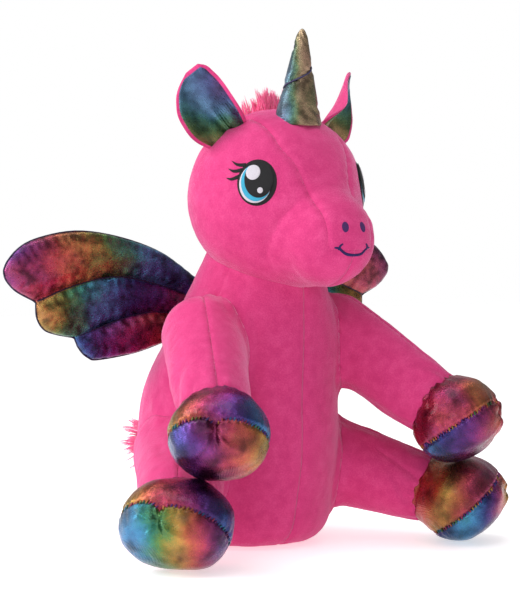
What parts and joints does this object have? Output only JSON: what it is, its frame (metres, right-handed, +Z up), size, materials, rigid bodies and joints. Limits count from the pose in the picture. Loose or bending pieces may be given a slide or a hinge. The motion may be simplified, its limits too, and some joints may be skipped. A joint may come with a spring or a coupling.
{
  "type": "plush winged unicorn",
  "caption": "Seated soft toy of a winged unicorn: short-pile body panels over fibre stuffing, foil-fabric hooves, wings, ear linings and horn, embroidered face",
  "frame": {"origin": "centre of the flat seat under the torso, on the surface the toy sits on", "axes": "+Z up; the face looks along -Y; the toy's own left is +X"},
  "size_m": [0.3782, 0.3337, 0.4001],
  "materials": {
    "plush": "short-pile velour",
    "stuffing": "loose polyester fibre",
    "foil": "iridescent metallic foil print on knit",
    "long_fur": "long shaggy pile",
    "winding_thread": "metallic thread",
    "thread_white": "satin-stitch embroidery",
    "thread_cyan": "satin-stitch embroidery",
    "thread_black": "satin-stitch embroidery",
    "thread_purple": "satin-stitch embroidery",
    "thread_indigo": "satin-stitch embroidery"
  },
  "bodies": {
    "torso": {"torso_left_panel": "plush", "torso_right_panel": "plush", "torso_stuffing": "stuffing"},
    "head": {"head_gusset": "plush", "head_left_panel": "plush", "head_right_panel": "plush", "head_stuffing": "stuffing", "nostrils": "thread_purple", "mouth_stitching": "thread_indigo", "mane_fur": "long_fur", "eye_left_white": "thread_white", "eye_left_iris": "thread_cyan", "eye_left_pupil": "thread_black", "eye_left_glints": "thread_white", "eye_left_outline": "thread_black", "eye_right_white": "thread_white", "eye_right_iris": "thread_cyan", "eye_right_pupil": "thread_black", "eye_right_glints": "thread_white", "eye_right_outline": "thread_black"},
    "horn": {"horn_cover": "foil", "horn_stuffing": "stuffing", "horn_winding": "winding_thread"},
    "tail": {"tail_fur": "long_fur"},
    "ear_left": {"ear_left_back": "plush", "ear_left_lining": "foil"},
    "wing_left": {"wing_left_front_foil": "foil", "wing_left_batting": "stuffing", "wing_left_back_foil": "foil"},
    "arm_left": {"arm_left_inner_panel": "plush", "arm_left_outer_panel": "plush", "arm_left_hoof_upper": "foil", "arm_left_hoof_sole": "foil", "arm_left_stuffing": "stuffing"},
    "leg_left": {"leg_left_inner_panel": "plush", "leg_left_outer_panel": "plush", "leg_left_hoof_upper": "foil", "leg_left_hoof_sole": "foil", "leg_left_stuffing": "stuffing"},
    "ear_right": {"ear_right_back": "plush", "ear_right_lining": "foil"},
    "wing_right": {"wing_right_front_foil": "foil", "wing_right_batting": "stuffing", "wing_right_back_foil": "foil"},
    "arm_right": {"arm_right_inner_panel": "plush", "arm_right_outer_panel": "plush", "arm_right_hoof_upper": "foil", "arm_right_hoof_sole": "foil", "arm_right_stuffing": "stuffing"},
    "leg_right": {"leg_right_inner_panel": "plush", "leg_right_outer_panel": "plush", "leg_right_hoof_upper": "foil", "leg_right_hoof_sole": "foil", "leg_right_stuffing": "stuffing"}
  },
  "joints": [
    {"name": "head_nod", "type": "hinge", "parent": "torso", "child": "head", "pos_m": [0, -0.044, 0.232], "axis": [1, 0, 0], "range_deg": [-12, 8], "stiffness_Nm_per_rad": 1.5},
    {"name": "horn_bend", "type": "hinge", "parent": "head", "child": "horn", "pos_m": [0, -0.08, 0.33506], "axis": [1, 0, 0], "range_deg": [-8, 8], "stiffness_Nm_per_rad": 0.05},
    {"name": "tail_swing", "type": "hinge", "parent": "torso", "child": "tail", "pos_m": [0, 0.0975, 0.068], "axis": [1, 0, 0], "range_deg": [-20, 30], "stiffness_Nm_per_rad": 0.12},
    {"name": "ear_left_bend", "type": "hinge", "parent": "head", "child": "ear_left", "pos_m": [0.04825, -0.0535, 0.321], "axis": [0.5748, 0.5079, -0.6416], "range_deg": [-18, 18], "stiffness_Nm_per_rad": 0.03},
    {"name": "shoulder_left", "type": "hinge", "parent": "torso", "child": "arm_left", "pos_m": [0.064, -0.044, 0.165], "axis": [-1, 0, 0], "range_deg": [0, 50], "stiffness_Nm_per_rad": 0.05},
    {"name": "hip_left", "type": "hinge", "parent": "torso", "child": "leg_left", "pos_m": [0.056, -0.004, 0.068], "axis": [0, 0, 1], "range_deg": [0, 16], "stiffness_Nm_per_rad": 0.05},
    {"name": "wing_left_flap", "type": "hinge", "parent": "torso", "child": "wing_left", "pos_m": [0.03977, 0.0425, 0.158], "axis": [-0.4772, 0, 0.8788], "range_deg": [-10, 35], "stiffness_Nm_per_rad": 0.2},
    {"name": "ear_right_bend", "type": "hinge", "parent": "head", "child": "ear_right", "pos_m": [-0.04825, -0.0535, 0.321], "axis": [-0.5748, 0.5079, -0.6416], "range_deg": [-18, 18], "stiffness_Nm_per_rad": 0.03},
    {"name": "shoulder_right", "type": "hinge", "parent": "torso", "child": "arm_right", "pos_m": [-0.064, -0.044, 0.165], "axis": [-1, 0, 0], "range_deg": [0, 50], "stiffness_Nm_per_rad": 0.05},
    {"name": "hip_right", "type": "hinge", "parent": "torso", "child": "leg_right", "pos_m": [-0.056, -0.004, 0.068], "axis": [0, 0, -1], "range_deg": [0, 16], "stiffness_Nm_per_rad": 0.05},
    {"name": "wing_right_flap", "type": "hinge", "parent": "torso", "child": "wing_right", "pos_m": [-0.03977, 0.0425, 0.158], "axis": [-0.4772, 0, -0.8788], "range_deg": [-10, 35], "stiffness_Nm_per_rad": 0.2}
  ]
}
